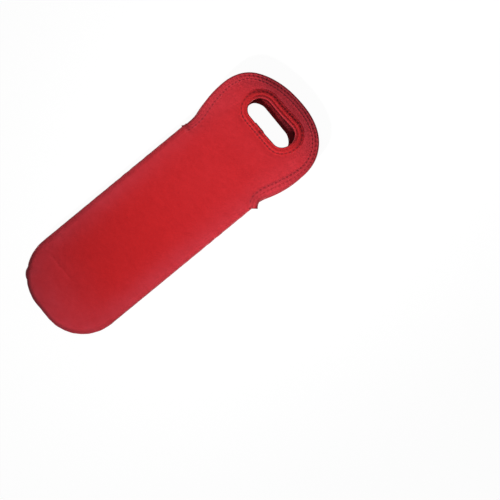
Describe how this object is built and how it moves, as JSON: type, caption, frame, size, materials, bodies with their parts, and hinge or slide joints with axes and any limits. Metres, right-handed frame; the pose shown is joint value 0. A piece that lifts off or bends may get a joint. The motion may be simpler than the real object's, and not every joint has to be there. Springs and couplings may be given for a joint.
{
  "type": "bottle carrier",
  "caption": "Soft sewn single-bottle tote with a flat padded pouch, round bottom corners and two bound hand-slot handles that spread to open its mouth.",
  "frame": {"origin": "under the middle of the tote's outline, on the surface that its back lies on", "axes": "+X across the tote, +Y from its bottom seam to its handles, +Z from its back to its front"},
  "size_m": [0.1554, 0.42, 0.024],
  "materials": {
    "face_knit": "fine red jersey knit laminated on foam, matt with a soft sheen",
    "foam": "closed-cell foam rubber, black, hidden between the knits",
    "lining_knit": "red jersey knit, matt",
    "binding_tape": "red knitted binding tape, slightly brighter than the panels",
    "thread": "red sewing thread, zigzag stitched"
  },
  "bodies": {
    "pouch": {"front_wall_face": "face_knit", "front_wall_foam": "foam", "front_wall_lining": "lining_knit", "back_wall_face": "face_knit", "back_wall_foam": "foam", "back_wall_lining": "lining_knit", "seam_overlock_thread": "thread"},
    "front_handle": {"front_handle_face": "face_knit", "front_handle_foam": "foam", "front_handle_lining": "lining_knit", "front_edge_binding": "binding_tape", "front_edge_needle_thread": "thread", "front_edge_bobbin_thread": "thread", "front_slot_binding": "binding_tape", "front_slot_needle_thread": "thread", "front_slot_bobbin_thread": "thread"},
    "back_handle": {"back_handle_face": "face_knit", "back_handle_foam": "foam", "back_handle_lining": "lining_knit", "back_edge_binding": "binding_tape", "back_edge_needle_thread": "thread", "back_edge_bobbin_thread": "thread", "back_slot_binding": "binding_tape", "back_slot_needle_thread": "thread", "back_slot_bobbin_thread": "thread"}
  },
  "joints": [
    {"name": "front_handle_flex", "type": "hinge", "parent": "pouch", "child": "front_handle", "pos_m": [0, 0.081, 0.024], "axis": [1, 0, 0], "range_deg": [0, 75], "stiffness_Nm_per_rad": 0.2},
    {"name": "back_handle_flex", "type": "hinge", "parent": "pouch", "child": "back_handle", "pos_m": [0, 0.081, 0], "axis": [-1, 0, 0], "range_deg": [0, 75], "stiffness_Nm_per_rad": 0.2}
  ]
}
